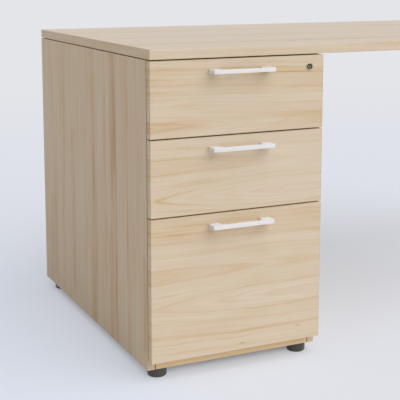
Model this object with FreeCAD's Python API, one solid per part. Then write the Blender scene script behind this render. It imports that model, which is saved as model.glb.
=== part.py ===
import FreeCAD, Part
import math
import os

# Pedestal desk, in millimetres. +X runs along the desk from the pedestal to the leg frame,
# +Y from the user's side to the back, +Z up. The origin is on the floor, under the middle
# of the outline, handles included.

# Overall size.
desk_width = 1600.0
desk_depth = 800.0
desk_height = 740.0

# Desktop: laminated board with an edge strip glued all round.
desktop_thickness = 22.0
desktop_edging = 2.0
desktop_rounding = 1.2

# Pedestal carcass: laminated boards, held by dowels and cam fittings.
pedestal_width = 428.0
board_thickness = 18.0
board_edging = 1.0
board_rounding = 0.5
shadow_gap = 2.0
plinth_reveal = 22.0
dowel_radius = 4.0
dowel_length = 30.0
dowel_in_side = 12.0
cam_radius = 7.5
cam_depth = 13.0
cam_inset = 24.0
cam_bolt_radius = 3.0
cam_bolt_hole_radius = 4.0
cam_bolt_in_side = 11.0
cam_pocket = 4.0
fitting_clearance = 0.1

# Drawer fronts: they cover the front of the carcass, edge to edge.
front_thickness = 18.0
front_air = 5.0
front_gap = 3.0
upper_front_height = 167.0
middle_front_height = 170.0

# Drawer boxes: two sides, a back and a grooved-in bottom.
box_past_slide = 3.0
box_wall = 12.0
box_bottom_thickness = 4.0
box_bottom_rise = 10.0
box_groove_depth = 5.0
box_groove_clearance = 0.2
box_margin_low = 18.0
box_margin_high = 44.0

# Rails for hanging files, on the sides of the lower box.
file_rail_base = 2.0
file_rail_rib = 2.0
file_rail_height = 8.0
file_rail_end_room = 15.0

# Soft buffers on the carcass edge, one at each side of every front.
buffer_radius = 4.0
buffer_clearance = 0.3
buffer_rise = 14.0

# Ball-bearing slides: a fixed, a middle and a moving member, each a channel.
slide_space = 13.0
slide_rear_room = 86.0
slide_height = 45.0
slide_sheet = 1.2
slide_flange = 11.0
slide_race = 0.6
slide_web_step = 1.8
moving_flange = 7.8
moving_setback = 2.0

# Handles: flat bow handles with two broad posts.
handle_length = 152.0
handle_projection = 28.0
handle_height = 10.0
handle_bar_depth = 8.0
handle_post_width = 24.0
handle_inner_radius = 14.0
handle_corner_radius = 2.5
handle_edge_radius = 1.2
handle_drop = 26.0
handle_screw_radius = 2.0
handle_screw_depth = 9.0
handle_screw_head_radius = 4.0
handle_screw_head_height = 2.5
handle_screw_clearance = 0.3

# Central lock: cylinder in the upper front, an eccentric cam and a lifting bar.
lock_from_edge = 37.0
lock_rim_radius = 9.0
lock_rim_height = 1.5
lock_rim_rounding = 0.7
lock_barrel_radius = 8.0
lock_barrel_tail = 7.0
lock_plug_radius = 6.8
lock_plug_recess = 0.8
lock_running_clearance = 0.1
keyway_width = 1.6
keyway_height = 7.0
keyway_depth = 9.0
cam_disc_radius = 9.0
cam_disc_thickness = 1.5
cam_pin_radius = 2.3
cam_pin_length = 9.5
cam_throw = 6.5
cam_rest_angle = -45.0
bar_width = 14.0
bar_thickness = 2.0
bar_setback = 3.0
bar_to_slide = 5.0
bar_wall_clearance = 0.3
bar_tail = 10.0
bar_tab_thickness = 1.5
bar_tab_clearance = 0.6
bar_tab_overlap = 7.0
tooth_width = 10.2
tooth_thickness = 2.5
tooth_height = 10.0
tooth_gap = 3.0
tooth_setback = 1.0
lug_thickness = 2.0
lug_depth = 12.0
lug_play = 2.0
guide_height = 12.0
guide_wall = 2.2

# Pedestal feet: charcoal levelling feet on threaded stems.
foot_height = 24.0
foot_radius = 22.0
foot_rounding = 5.0
foot_from_side = 33.0
foot_from_front = 27.0
foot_from_back = 50.0
stem_radius = 5.0
stem_above_panel = 8.0
stem_clearance = 0.3
socket_radius = 10.0
socket_flange_radius = 18.0
socket_flange_thickness = 2.0
socket_to_foot = 0.4

# Leg frame at the right end: rectangular steel tube, with its own levelling feet.
leg_inset = 20.0
leg_setback = 40.0
leg_tube_width = 50.0
leg_tube_depth = 30.0
tube_wall = 2.0
tube_rounding = 3.0
cap_thickness = 3.0
cap_rounding = 1.0
cap_plug_length = 10.0
cap_plug_clearance = 0.2
leg_foot_height = 18.0
leg_foot_radius = 17.0
leg_foot_rounding = 3.0
leg_foot_inset = 60.0
leg_stem_radius = 4.0
leg_stem_rise = 16.0
leg_socket_radius = 7.0
leg_socket_flange_radius = 12.0
leg_socket_depth = 10.0

# Beams under the desktop, from the pedestal to the leg frame.
beam_width = 40.0
beam_height = 25.0
plate_thickness = 4.0
plate_ear = 22.0
screw_radius = 3.0
screw_clearance = 0.1
screw_head_radius = 5.5
screw_head_height = 3.0
screw_bite = 12.0
screw_tip_room = 0.5
desktop_screw_inset = 76.0

# How far apart two places may be and still count as the same.
match_tolerance = 0.001

# Where repeated pieces lie, as shares of the length that carries them.
dowel_shares = (0.09, 0.50, 0.89)
back_dowel_shares = (0.20, 0.50, 0.80)
cam_shares = (0.16, 0.82)
pedestal_screw_shares = (0.20, 0.80)
beam_depth_shares = (0.35, 0.72)
beam_screw_shares = (0.25, 0.75)
leg_screw_shares = (0.20, 0.80)

# Places worked out from the sizes above.
left = -desk_width / 2
right = desk_width / 2
front = -(desk_depth - handle_projection) / 2
back = front + desk_depth
under = desk_height - desktop_thickness
pedestal_right = left + pedestal_width
pedestal_middle = left + pedestal_width / 2
inner_half = pedestal_width / 2 - board_thickness
box_half = inner_half - slide_space
front_back = front + front_thickness
carcass_front = front_back + front_air
panel_front = carcass_front + board_edging
panel_back = back - board_edging
back_panel_front = panel_back - board_thickness
carcass_bottom = foot_height
side_top = under - shadow_gap
bottom_panel_top = carcass_bottom + board_thickness
top_panel_under = under - board_thickness

upper_top = under - front_gap
upper_bottom = upper_top - upper_front_height
middle_top = upper_bottom - front_gap
middle_bottom = middle_top - middle_front_height
lower_top = middle_bottom - front_gap
lower_bottom = carcass_bottom + plinth_reveal
drawers = (
    ("drawer_1", upper_bottom, upper_top),
    ("drawer_2", middle_bottom, middle_top),
    ("drawer_3", lower_bottom, lower_top),
)

X_AXIS = FreeCAD.Vector(1, 0, 0)
Y_AXIS = FreeCAD.Vector(0, 1, 0)
Z_AXIS = FreeCAD.Vector(0, 0, 1)


def point(x, y, z):
    return FreeCAD.Vector(x, y, z)


def block(x_ends, y_ends, z_ends):
    """Rectangular solid between two ends on each axis, given in any order."""
    low = [min(ends) for ends in (x_ends, y_ends, z_ends)]
    high = [max(ends) for ends in (x_ends, y_ends, z_ends)]
    size = [end - start for start, end in zip(low, high)]
    return Part.makeBox(size[0], size[1], size[2], point(*low))


def rod(start, direction, radius, length):
    return Part.makeCylinder(radius, length, start, direction)


def round_edges(solid, radius, wanted):
    """Fillet each edge whose two end points both satisfy wanted."""
    edges = [edge for edge in solid.Edges if all(wanted(vertex.Point) for vertex in edge.Vertexes)]
    return solid.makeFillet(radius, edges)


def same(first, second):
    return abs(first - second) < match_tolerance


def drill(solid, tools):
    """Cut each of the tools out of a solid."""
    for tool in tools:
        solid = solid.cut(tool)
    return solid


def save(node, *shapes):
    """Write the solids of one node to the node's own file."""
    solids = [solid for shape in shapes for solid in shape.Solids]
    shape = solids[0] if len(solids) == 1 else Part.makeCompound(solids)
    shape.exportStep("parts/" + node + ".step")


def along(start, end, share):
    """The place that lies a share of the way from start to end."""
    return start + (end - start) * share


def edged_board(ends, thin_axis, edging, rounding):
    """Board core and its four edge strips, with the outer edges rounded."""
    whole = block(*ends)
    whole = whole.makeFillet(rounding, whole.Edges)
    long_axis, short_axis = [axis for axis in range(3) if axis != thin_axis]
    core_ends = list(ends)
    for axis in (long_axis, short_axis):
        core_ends[axis] = (ends[axis][0] + edging, ends[axis][1] - edging)
    core = block(*core_ends)
    ring = whole.cut(core)
    strips = []
    for axis in (short_axis, long_axis):
        low, high = ends[axis]
        for strip_ends in ((low, low + edging), (high - edging, high)):
            slab_ends = list(ends)
            slab_ends[axis] = strip_ends
            if axis == long_axis:
                slab_ends[short_axis] = core_ends[short_axis]
            strips.append(ring.common(block(*slab_ends)))
    return core, strips


def lipping(x_ends, y_ends, z_ends, outer_y):
    """Edge strip on one edge of a board, its two long outer edges rounded."""
    strip = block(x_ends, y_ends, z_ends)
    long_length = max(abs(x_ends[1] - x_ends[0]), abs(z_ends[1] - z_ends[0]))
    edges = [
        edge
        for edge in strip.Edges
        if same(edge.CenterOfMass.y, outer_y) and same(edge.Length, long_length)
    ]
    return strip.makeFillet(board_rounding, edges)


def hollow_tube(ends, run_axis):
    """Rectangular steel tube between the given ends, open at both ends of its run."""
    outer = block(*ends)
    edges = []
    for edge in outer.Edges:
        direction = edge.tangentAt(edge.FirstParameter)
        if same(abs(direction[run_axis]), 1):
            edges.append(edge)
    outer = outer.makeFillet(tube_rounding, edges)
    bore_ends = [
        pair if axis == run_axis else (pair[0] + tube_wall, pair[1] - tube_wall)
        for axis, pair in enumerate(ends)
    ]
    return outer.cut(block(*bore_ends))


def screw(head_start, direction, grip):
    """Pan-head screw: the head stands behind head_start, and the shank runs on through grip."""
    head_base = head_start - direction * screw_head_height
    head = rod(head_base, direction, screw_head_radius, screw_head_height)
    shank = rod(head_start, direction, screw_radius, grip + screw_bite)
    return head.fuse(shank)


def screw_hole(head_start, direction, grip):
    length = grip + screw_bite + screw_tip_room
    return rod(head_start, direction, screw_radius + screw_clearance, length)


# Screws that hold the desktop: up through the pedestal's top panel, the beams and the leg rail.
leg_x = (right - leg_inset - leg_tube_width, right - leg_inset)
leg_y = (front + leg_setback, back - leg_setback)
beam_x = (pedestal_right + plate_thickness, leg_x[0] - plate_thickness)
beam_centres = [along(front, back, share) for share in beam_depth_shares]
beam_middle_z = under - beam_height / 2

pedestal_screws = [
    (point(pedestal_middle + side * (inner_half - desktop_screw_inset), y, top_panel_under), board_thickness)
    for side in (-1, 1)
    for y in [along(panel_front, back_panel_front, share) for share in pedestal_screw_shares]
]
beam_screw_places = [
    (point(along(beam_x[0], beam_x[1], share), y, under - beam_height), beam_height)
    for y in beam_centres
    for share in beam_screw_shares
]
leg_screw_places = [
    (point(sum(leg_x) / 2, along(leg_y[0], leg_y[1], share), under - leg_tube_depth), leg_tube_depth)
    for share in leg_screw_shares
]
upward_screws = pedestal_screws + beam_screw_places + leg_screw_places
upward_holes = [screw_hole(place, Z_AXIS, grip) for place, grip in upward_screws]

# Desktop.
desktop_ends = ((left, right), (front, back), (under, desk_height))
desktop_core, desktop_strips = edged_board(desktop_ends, 2, desktop_edging, desktop_rounding)
save("desktop_board", drill(desktop_core, upward_holes))
save("desktop_edging", *desktop_strips)

dowels = []
dowel_holes = []


def add_dowel(side, y, z):
    """Dowel across the joint between a side panel and a panel that ends on it, with its hole."""
    start = point(pedestal_middle + side * (inner_half + dowel_in_side), y, z)
    dowels.append(rod(start, X_AXIS * -side, dowel_radius, dowel_length))
    hole_radius = dowel_radius + fitting_clearance
    dowel_holes.append(rod(start, X_AXIS * -side, hole_radius, dowel_length + fitting_clearance))


# Dowels and cam fittings that join the top and bottom panels to the sides.
cams = []
cam_holes = []
for panel_middle in (carcass_bottom + board_thickness / 2, under - board_thickness / 2):
    panel_under = panel_middle - board_thickness / 2
    for side in (-1, 1):
        joint_x = pedestal_middle + side * inner_half
        for share in dowel_shares:
            add_dowel(side, along(panel_front, back_panel_front, share), panel_middle)
        for share in cam_shares:
            y = along(panel_front, back_panel_front, share)
            cam_x = joint_x - side * cam_inset
            bolt_start = point(joint_x + side * cam_bolt_in_side, y, panel_middle)
            bolt_length = cam_bolt_in_side + cam_inset - cam_pocket
            bolt = rod(bolt_start, X_AXIS * -side, cam_bolt_radius, bolt_length)
            pocket_radius = cam_bolt_radius + fitting_clearance
            pocket = rod(bolt_start, X_AXIS * -side, pocket_radius, bolt_length + fitting_clearance)
            cam_base = point(cam_x, y, panel_under)
            cam = rod(cam_base, Z_AXIS, cam_radius, cam_depth).cut(pocket)
            cams += [cam, bolt]
            tunnel_start = point(joint_x, y, panel_middle)
            bolt_tunnel = rod(tunnel_start, X_AXIS * -side, cam_bolt_hole_radius, cam_inset)
            cam_bore = rod(cam_base, Z_AXIS, cam_radius + fitting_clearance, cam_depth + fitting_clearance)
            cam_holes += [pocket, bolt_tunnel, cam_bore]

# Dowels that join the back panel to the sides.
for side in (-1, 1):
    for share in back_dowel_shares:
        add_dowel(side, back_panel_front + board_thickness / 2, along(carcass_bottom, side_top, share))
save("dowels", *dowels)
save("cam_fittings", *cams)

# Sockets that the stems of the pedestal feet screw into.
foot_places = {
    "foot_front_left": (left + foot_from_side, carcass_front + foot_from_front),
    "foot_front_right": (pedestal_right - foot_from_side, carcass_front + foot_from_front),
    "foot_rear_left": (left + foot_from_side, back - foot_from_back),
    "foot_rear_right": (pedestal_right - foot_from_side, back - foot_from_back),
}
flange_bottom = carcass_bottom - socket_flange_thickness
sockets = []
socket_holes = []
for x, y in foot_places.values():
    flange = rod(point(x, y, flange_bottom), Z_AXIS, socket_flange_radius, socket_flange_thickness)
    sleeve = rod(point(x, y, carcass_bottom), Z_AXIS, socket_radius, board_thickness)
    bore_length = socket_flange_thickness + board_thickness
    bore = rod(point(x, y, flange_bottom), Z_AXIS, stem_radius + stem_clearance, bore_length)
    sockets.append(flange.fuse(sleeve).cut(bore))
    socket_holes.append(
        rod(point(x, y, carcass_bottom), Z_AXIS, socket_radius + fitting_clearance, board_thickness)
    )

# Screws of the beam plates, into the right side panel and the leg's top rail.
plate_screws = []
plate_holes = []
for y in beam_centres:
    for ear_side in (-1, 1):
        screw_y = y + ear_side * (beam_width + plate_ear) / 2
        for start_x, direction in ((beam_x[0], -1), (beam_x[1], 1)):
            place = point(start_x, screw_y, beam_middle_z)
            plate_screws.append(screw(place, X_AXIS * direction, plate_thickness))
            plate_holes.append(screw_hole(place, X_AXIS * direction, plate_thickness))

# Carcass panels and their edge strips.
side_holes = dowel_holes + cam_holes + plate_holes
carcass_strips = []
for name, side in (("left", -1), ("right", 1)):
    x_ends = (pedestal_middle + side * inner_half, pedestal_middle + side * pedestal_width / 2)
    z_ends = (carcass_bottom, side_top)
    panel = block(x_ends, (panel_front, panel_back), z_ends)
    save("side_panel_" + name, drill(panel, side_holes))
    carcass_strips.append(lipping(x_ends, (carcass_front, panel_front), z_ends, carcass_front))
    carcass_strips.append(lipping(x_ends, (panel_back, back), z_ends, back))

buffers = []
for _, front_bottom, _ in drawers:
    for side in (-1, 1):
        buffer_x = pedestal_middle + side * (inner_half + board_thickness / 2)
        start = point(buffer_x, carcass_front, front_bottom + buffer_rise)
        buffers.append(rod(start, Y_AXIS * -1, buffer_radius, front_air - buffer_clearance))
save("front_buffers", *buffers)

inner_x = (pedestal_middle - inner_half, pedestal_middle + inner_half)
panel_holes = dowel_holes + cam_holes
for name, z_ends in (
    ("pedestal_bottom", (carcass_bottom, bottom_panel_top)),
    ("pedestal_top", (top_panel_under, under)),
):
    panel = block(inner_x, (panel_front, back_panel_front), z_ends)
    save(name, drill(panel, panel_holes + socket_holes + upward_holes))
    carcass_strips.append(lipping(inner_x, (carcass_front, panel_front), z_ends, carcass_front))
back_panel = block(inner_x, (back_panel_front, panel_back), (carcass_bottom, side_top))
save("pedestal_back", drill(back_panel, dowel_holes))
save("pedestal_edging", *carcass_strips)

# Pedestal feet: a round pad with its lower edge rounded, on a threaded stem.
for name, (x, y) in foot_places.items():
    pad_height = flange_bottom - socket_to_foot
    pad = rod(point(x, y, 0), Z_AXIS, foot_radius, pad_height)
    pad = round_edges(pad, foot_rounding, lambda place: same(place.z, 0))
    stem_top = bottom_panel_top + stem_above_panel
    stem = rod(point(x, y, pad_height), Z_AXIS, stem_radius, stem_top - pad_height)
    save(name, pad.fuse(stem))

# Leg frame: top rail and floor rail along the desk's depth, posts between them.
top_rail_z = (under - leg_tube_depth, under)
floor_rail_z = (leg_foot_height, leg_foot_height + leg_tube_depth)
rail_y = (leg_y[0] + cap_thickness, leg_y[1] - cap_thickness)
leg_middle_x = sum(leg_x) / 2
top_rail = hollow_tube((leg_x, rail_y, top_rail_z), 1)
save("leg_top_rail", drill(top_rail, upward_holes + plate_holes))

leg_feet = {
    "leg_foot_front": leg_y[0] + leg_foot_inset,
    "leg_foot_rear": leg_y[1] - leg_foot_inset,
}
leg_flange_bottom = leg_foot_height - socket_flange_thickness
leg_socket_holes = []
for y in leg_feet.values():
    flange_start = point(leg_middle_x, y, leg_flange_bottom)
    flange = rod(flange_start, Z_AXIS, leg_socket_flange_radius, socket_flange_thickness)
    sleeve = rod(point(leg_middle_x, y, leg_foot_height), Z_AXIS, leg_socket_radius, leg_socket_depth)
    bore_length = socket_flange_thickness + leg_socket_depth
    bore = rod(flange_start, Z_AXIS, leg_stem_radius + stem_clearance, bore_length)
    sockets.append(flange.fuse(sleeve).cut(bore))
    leg_socket_holes.append(
        rod(point(leg_middle_x, y, leg_foot_height), Z_AXIS, leg_socket_radius + fitting_clearance, tube_wall)
    )
floor_rail = hollow_tube((leg_x, rail_y, floor_rail_z), 1)
save("leg_floor_rail", drill(floor_rail, leg_socket_holes))
save("foot_sockets", *sockets)

for name, y_ends in (
    ("leg_post_front", (leg_y[0] + cap_thickness, leg_y[0] + cap_thickness + leg_tube_depth)),
    ("leg_post_rear", (leg_y[1] - cap_thickness - leg_tube_depth, leg_y[1] - cap_thickness)),
):
    save(name, hollow_tube((leg_x, y_ends, (floor_rail_z[1], top_rail_z[0])), 2))

# Plastic caps in the ends of both rails.
caps = []
for rail_z in (top_rail_z, floor_rail_z):
    for outer_y, inward in ((leg_y[0], 1), (leg_y[1], -1)):
        cap_inner_y = outer_y + inward * cap_thickness
        plate = block(leg_x, (outer_y, cap_inner_y), rail_z)
        plate = round_edges(plate, cap_rounding, lambda place: same(place.y, outer_y))
        inset = tube_wall + cap_plug_clearance
        plug = block(
            (leg_x[0] + inset, leg_x[1] - inset),
            (cap_inner_y, cap_inner_y + inward * cap_plug_length),
            (rail_z[0] + inset, rail_z[1] - inset),
        )
        caps.append(plate.fuse(plug))
save("rail_end_caps", *caps)

# Feet of the leg frame.
for name, y in leg_feet.items():
    pad_height = leg_flange_bottom - socket_to_foot
    pad = rod(point(leg_middle_x, y, 0), Z_AXIS, leg_foot_radius, pad_height)
    pad = round_edges(pad, leg_foot_rounding, lambda place: same(place.z, 0))
    stem_top = floor_rail_z[0] + leg_stem_rise
    stem = rod(point(leg_middle_x, y, pad_height), Z_AXIS, leg_stem_radius, stem_top - pad_height)
    save(name, pad.fuse(stem))

# Beams and the plates at their ends.
beams = []
plates = []
for y in beam_centres:
    beam_ends = (beam_x, (y - beam_width / 2, y + beam_width / 2), (under - beam_height, under))
    beams.append(drill(hollow_tube(beam_ends, 0), upward_holes))
    plate_y = (y - beam_width / 2 - plate_ear, y + beam_width / 2 + plate_ear)
    for x_ends in ((pedestal_right, beam_x[0]), (beam_x[1], leg_x[0])):
        plate = block(x_ends, plate_y, (under - beam_height, under))
        plates.append(drill(plate, plate_holes))
save("beams", *beams)
save("beam_plates", *plates)
desktop_screws = [screw(place, Z_AXIS, grip) for place, grip in upward_screws]
save("frame_screws", *(plate_screws + desktop_screws))

# Slides: the offsets are measured sideways from the middle of the pedestal.
slide_front = carcass_front + bar_setback + bar_width + bar_to_slide
slide_back = back_panel_front - slide_rear_room
box_back = slide_back + box_past_slide
moving_front = front_back + moving_setback
middle_web = inner_half - slide_sheet - slide_web_step
fixed_half = slide_height / 2
middle_half = fixed_half - slide_sheet - slide_race
moving_half = middle_half - slide_sheet - slide_race


def channel(side, web_offset, flange_offset, middle_z, half_height, y_ends):
    """Slide member: a web at one offset, with two flanges that reach the other offset."""
    inward = math.copysign(slide_sheet, flange_offset - web_offset)
    web_x = pedestal_middle + side * web_offset
    groove_x = pedestal_middle + side * (web_offset + inward)
    flange_x = pedestal_middle + side * flange_offset
    outer = block((web_x, flange_x), y_ends, (middle_z - half_height, middle_z + half_height))
    inner_half_height = half_height - slide_sheet
    groove_z = (middle_z - inner_half_height, middle_z + inner_half_height)
    return outer.cut(block((groove_x, flange_x), y_ends, groove_z))


def bow_handle(middle_x, middle_z):
    """Flat bow handle: a bar on two posts, with wide curves where the bar meets the posts."""
    outer_front = front - handle_projection
    z_ends = (middle_z - handle_height / 2, middle_z + handle_height / 2)
    half = handle_length / 2
    body = block((middle_x - half, middle_x + half), (outer_front, front), z_ends)
    body = round_edges(body, handle_corner_radius, lambda place: same(place.y, outer_front))
    bar_back = outer_front + handle_bar_depth
    gap_half = half - handle_post_width
    gap = block((middle_x - gap_half, middle_x + gap_half), (bar_back, front), z_ends)
    corners = [
        edge
        for edge in gap.Edges
        if same(edge.CenterOfMass.y, bar_back) and same(edge.CenterOfMass.z, middle_z)
    ]
    gap = gap.makeFillet(handle_inner_radius, corners)
    handle = body.cut(gap)
    rims = [
        edge
        for edge in handle.Edges
        if any(same(edge.BoundBox.ZMin, z) and same(edge.BoundBox.ZMax, z) for z in z_ends)
        and not same(edge.CenterOfMass.y, front)
    ]
    return handle.makeFillet(handle_edge_radius, rims)


# Lock cylinder, its cam and the bar that the cam lifts.
lock_x = pedestal_right - lock_from_edge
lock_z = upper_top - handle_drop
tail_back = front_back + lock_barrel_tail
lock_front = front - lock_rim_height
rim = rod(point(lock_x, lock_front, lock_z), Y_AXIS, lock_rim_radius, lock_rim_height)
rim = round_edges(rim, lock_rim_rounding, lambda place: same(place.y, lock_front))
barrel = rod(point(lock_x, front, lock_z), Y_AXIS, lock_barrel_radius, tail_back - front)
plug_bore_radius = lock_plug_radius + lock_running_clearance
plug_bore = rod(point(lock_x, lock_front, lock_z), Y_AXIS, plug_bore_radius, tail_back - lock_front)
save("lock_housing", rim.fuse(barrel).cut(plug_bore))
lock_hole = rod(
    point(lock_x, front, lock_z), Y_AXIS, lock_barrel_radius + fitting_clearance, front_thickness
)

plug_front = lock_front + lock_plug_recess
plug = rod(point(lock_x, plug_front, lock_z), Y_AXIS, lock_plug_radius, tail_back - plug_front)
keyway = block(
    (lock_x - keyway_width / 2, lock_x + keyway_width / 2),
    (plug_front, plug_front + keyway_depth),
    (lock_z - keyway_height / 2, lock_z + keyway_height / 2),
)
save("lock_plug", plug.cut(keyway))

disc = rod(point(lock_x, tail_back, lock_z), Y_AXIS, cam_disc_radius, cam_disc_thickness)
pin_x = lock_x + cam_throw * math.cos(math.radians(cam_rest_angle))
pin_z = lock_z + cam_throw * math.sin(math.radians(cam_rest_angle))
pin = rod(point(pin_x, tail_back, pin_z), Y_AXIS, cam_pin_radius, cam_pin_length)
save("lock_cam", disc.fuse(pin))

# Drawers, one after the other from the top.
bar_front = carcass_front + bar_setback
tooth_front = bar_front + tooth_setback
lug_front = tooth_front + tooth_thickness + lug_play
slide_levels = []
for name, front_bottom, front_top in drawers:
    handle_z = front_top - handle_drop
    post_offset = (handle_length - handle_post_width) / 2
    screws = []
    front_holes = []
    post_holes = []
    for post_side in (-1, 1):
        screw_x = pedestal_middle + post_side * post_offset
        head_start = point(screw_x, front_back, handle_z)
        head = rod(head_start, Y_AXIS, handle_screw_head_radius, handle_screw_head_height)
        shank_length = front_thickness + handle_screw_depth
        shank = rod(head_start, Y_AXIS * -1, handle_screw_radius, shank_length)
        screws.append(head.fuse(shank))
        loose_radius = handle_screw_radius + handle_screw_clearance
        front_holes.append(rod(head_start, Y_AXIS * -1, loose_radius, front_thickness))
        tapped_radius = handle_screw_radius + fitting_clearance
        tapped_length = shank_length + fitting_clearance
        post_holes.append(rod(head_start, Y_AXIS * -1, tapped_radius, tapped_length))

    # Front board with its edge strips; the upper one also holds the lock.
    if name == "drawer_1":
        front_holes.append(lock_hole)
    front_ends = ((left, pedestal_right), (front, front_back), (front_bottom, front_top))
    core, strips = edged_board(front_ends, 1, board_edging, board_rounding)
    save(name + "_front", drill(core, front_holes), *strips)
    save(name + "_handle", drill(bow_handle(pedestal_middle, handle_z), post_holes))
    save(name + "_handle_screws", *screws)

    # Box: the bottom sits in grooves in the sides and runs on under the back.
    box_z = (front_bottom + box_margin_low, front_top - box_margin_high)
    box_y = (front_back, box_back)
    bottom_z = (box_z[0] + box_bottom_rise, box_z[0] + box_bottom_rise + box_bottom_thickness)
    inner_wall = box_half - box_wall
    groove_half = inner_wall + box_groove_depth
    groove_z = (bottom_z[0] - box_groove_clearance / 2, bottom_z[1] + box_groove_clearance / 2)
    groove_x = (pedestal_middle - groove_half, pedestal_middle + groove_half)
    groove = block(groove_x, box_y, groove_z)
    box_sides = []
    for side in (-1, 1):
        wall_x = (pedestal_middle + side * inner_wall, pedestal_middle + side * box_half)
        box_sides.append(block(wall_x, box_y, box_z).cut(groove))
    save(name + "_box_sides", *box_sides)
    wall_back_x = (pedestal_middle - inner_wall, pedestal_middle + inner_wall)
    save(name + "_box_back", block(wall_back_x, (box_y[1] - box_wall, box_y[1]), (bottom_z[1], box_z[1])))
    bottom_half = groove_half - box_groove_clearance
    bottom_x = (pedestal_middle - bottom_half, pedestal_middle + bottom_half)
    save(name + "_box_bottom", block(bottom_x, box_y, bottom_z))

    # The lower box is for hanging files: a ribbed rail lies on the top edge of each side.
    if name == "drawer_3":
        rails = []
        rail_y_ends = (box_y[0] + file_rail_end_room, box_y[1] - file_rail_end_room)
        for side in (-1, 1):
            inner_edge = pedestal_middle + side * inner_wall
            base_x = (inner_edge, pedestal_middle + side * box_half)
            rib_x = (inner_edge, inner_edge + side * file_rail_rib)
            base = block(base_x, rail_y_ends, (box_z[1], box_z[1] + file_rail_base))
            rib = block(rib_x, rail_y_ends, (box_z[1], box_z[1] + file_rail_height))
            rails.append(base.fuse(rib))
        save(name + "_file_rails", *rails)

    # Slides, at mid-height of the box; the right moving member carries the lug of the lock.
    slide_z = sum(box_z) / 2
    slide_levels.append(slide_z)
    fixed = []
    middle = []
    moving = []
    for side in (-1, 1):
        fixed_y = (slide_front, slide_back)
        fixed_tip = inner_half - slide_flange
        fixed.append(channel(side, inner_half, fixed_tip, slide_z, fixed_half, fixed_y))
        middle_tip = box_half + slide_sheet + slide_race
        middle.append(channel(side, middle_web, middle_tip, slide_z, middle_half, fixed_y))
        moving_tip = box_half + moving_flange
        moving_y = (moving_front, slide_back)
        moving.append(channel(side, box_half, moving_tip, slide_z, moving_half, moving_y))
    lug_z = (slide_z - moving_half - lug_depth, slide_z - moving_half + slide_sheet)
    lug_x = (pedestal_middle + box_half, pedestal_middle + box_half + moving_flange)
    lug = block(lug_x, (lug_front, lug_front + lug_thickness), lug_z)
    moving[1] = moving[1].fuse(lug)
    save(name + "_slides_fixed", *fixed)
    save(name + "_slides_middle", *middle)
    save(name + "_slides_moving", *moving)

# Locking bar: a flat strip with one tooth per drawer and a tab that rests over the cam pin.
bar_inner = inner_half - bar_wall_clearance - bar_thickness
bar_x = (pedestal_middle + bar_inner, pedestal_middle + bar_inner + bar_thickness)
tab_under = pin_z + cam_pin_radius + bar_tab_clearance
tab_top = tab_under + bar_tab_thickness
tooth_tops = [level - moving_half - lug_depth - tooth_gap for level in slide_levels]
bar_bottom = tooth_tops[-1] - tooth_height - bar_tail
bar = block(bar_x, (bar_front, bar_front + bar_width), (bar_bottom, tab_top))
tab_y = (tail_back + cam_disc_thickness + bar_tab_clearance, bar_front + bar_width)
tab = block((lock_x - bar_tab_overlap / 2, bar_x[1]), tab_y, (tab_under, tab_top))
bar = bar.fuse(tab)
for tooth_top in tooth_tops:
    tooth_x = (bar_x[1] - tooth_width, bar_x[1])
    tooth_y = (tooth_front, tooth_front + tooth_thickness)
    bar = bar.fuse(block(tooth_x, tooth_y, (tooth_top - tooth_height, tooth_top)))
save("locking_bar", bar)

# Guides that hold the bar to the side panel, midway between the slides.
guides = []
for upper, lower in zip(slide_levels[:-1], slide_levels[1:]):
    guide_z = ((upper + lower - guide_height) / 2, (upper + lower + guide_height) / 2)
    guide_inner = bar_inner - bar_wall_clearance - guide_wall
    guide_x = (pedestal_middle + guide_inner, pedestal_middle + inner_half)
    slot_x = (bar_x[0] - bar_wall_clearance, guide_x[1])
    slot_y = (bar_front - bar_wall_clearance, bar_front + bar_width + bar_wall_clearance)
    guide_y = (slot_y[0] - guide_wall, slot_y[1] + guide_wall)
    guides.append(block(guide_x, guide_y, guide_z).cut(block(slot_x, slot_y, guide_z)))
save("bar_guides", *guides)
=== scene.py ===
import math

import bmesh
import bpy
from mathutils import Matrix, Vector


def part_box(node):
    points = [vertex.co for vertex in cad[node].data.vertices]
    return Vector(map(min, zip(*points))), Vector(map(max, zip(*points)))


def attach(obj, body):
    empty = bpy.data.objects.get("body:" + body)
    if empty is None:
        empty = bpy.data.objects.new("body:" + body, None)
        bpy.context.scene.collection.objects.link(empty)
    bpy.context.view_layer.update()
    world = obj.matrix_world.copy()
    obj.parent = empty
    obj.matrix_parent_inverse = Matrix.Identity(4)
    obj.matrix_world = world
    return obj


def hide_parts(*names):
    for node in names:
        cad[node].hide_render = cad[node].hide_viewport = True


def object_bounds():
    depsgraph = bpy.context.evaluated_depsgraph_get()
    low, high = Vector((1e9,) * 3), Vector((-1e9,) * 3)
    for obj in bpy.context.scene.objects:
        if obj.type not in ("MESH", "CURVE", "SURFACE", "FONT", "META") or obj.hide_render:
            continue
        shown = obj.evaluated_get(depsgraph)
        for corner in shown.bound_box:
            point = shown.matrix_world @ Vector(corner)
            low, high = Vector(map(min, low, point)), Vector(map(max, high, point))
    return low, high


# A pedestal desk in pale beech laminate: a board pedestal with three drawers carries one end of the
# desktop and a white steel leg frame carries the other. Lengths are in metres and the front is at -Y.
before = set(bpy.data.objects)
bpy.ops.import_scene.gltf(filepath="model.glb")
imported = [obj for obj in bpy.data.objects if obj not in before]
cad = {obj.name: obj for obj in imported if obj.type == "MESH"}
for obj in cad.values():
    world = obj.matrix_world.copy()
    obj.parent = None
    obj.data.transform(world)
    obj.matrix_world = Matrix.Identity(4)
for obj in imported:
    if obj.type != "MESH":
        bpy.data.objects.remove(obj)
cad_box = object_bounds()
bpy.ops.object.select_all(action="DESELECT")
mm = 0.001

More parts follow.
